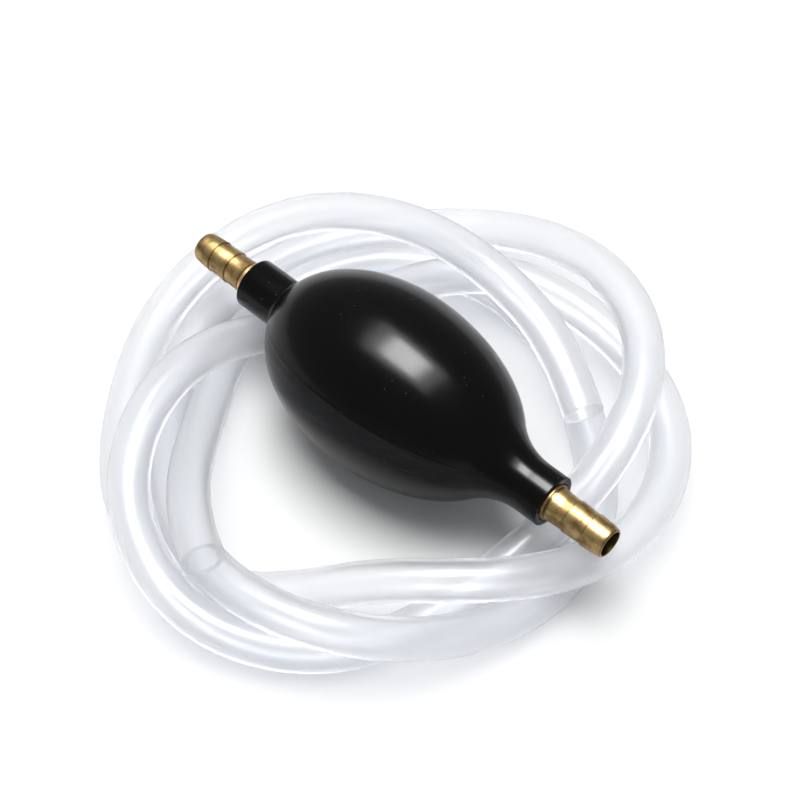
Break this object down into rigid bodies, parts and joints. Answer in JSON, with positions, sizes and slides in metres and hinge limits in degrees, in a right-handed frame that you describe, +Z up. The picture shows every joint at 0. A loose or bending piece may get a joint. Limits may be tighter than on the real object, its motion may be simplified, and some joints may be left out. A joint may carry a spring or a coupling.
{
  "type": "hand squeeze-bulb siphon pump with hose",
  "caption": "Rubber squeeze bulb with a barbed brass hose tail and a ball check valve in each neck, lying on a loose coil of clear hose, for siphoning water.",
  "frame": {"origin": "on the floor under the middle of the pump's box, without the hose", "axes": "+X along the pump from the inlet tail to the outlet tail, the way the water goes; +Z up; +Y to the left of the flow"},
  "size_m": [0.1578, 0.1622, 0.05],
  "materials": {
    "clear_hose": "clear milky satin",
    "black_rubber": "semi-matte black",
    "brass": "turned satin",
    "steel": "plain bright"
  },
  "bodies": {
    "coil": {"hose": "clear_hose"},
    "pump": {"squeeze_bulb": "black_rubber", "inlet_hose_tail": "brass", "inlet_valve_body": "brass", "inlet_seat_ring": "black_rubber", "inlet_valve_spring": "steel", "inlet_spring_retainer": "brass", "outlet_hose_tail": "brass", "outlet_valve_body": "brass", "outlet_seat_ring": "black_rubber", "outlet_valve_spring": "steel", "outlet_spring_retainer": "brass"},
    "inlet_ball": {"inlet_valve_ball": "steel"},
    "outlet_ball": {"outlet_valve_ball": "steel"}
  },
  "joints": [
    {"name": "pump_lift", "type": "slide", "parent": "coil", "child": "pump", "axis": [0, 0, 1], "range_m": [0, 0.1]},
    {"name": "inlet_ball_lift", "type": "slide", "parent": "pump", "child": "inlet_ball", "axis": [1, 0, 0], "range_m": [0, 0.0018], "stiffness_N_per_m": 40, "springref_m": -0.002, "deforming": ["inlet_valve_spring"]},
    {"name": "outlet_ball_lift", "type": "slide", "parent": "pump", "child": "outlet_ball", "axis": [1, 0, 0], "range_m": [0, 0.0018], "stiffness_N_per_m": 40, "springref_m": -0.002, "deforming": ["outlet_valve_spring"]}
  ]
}
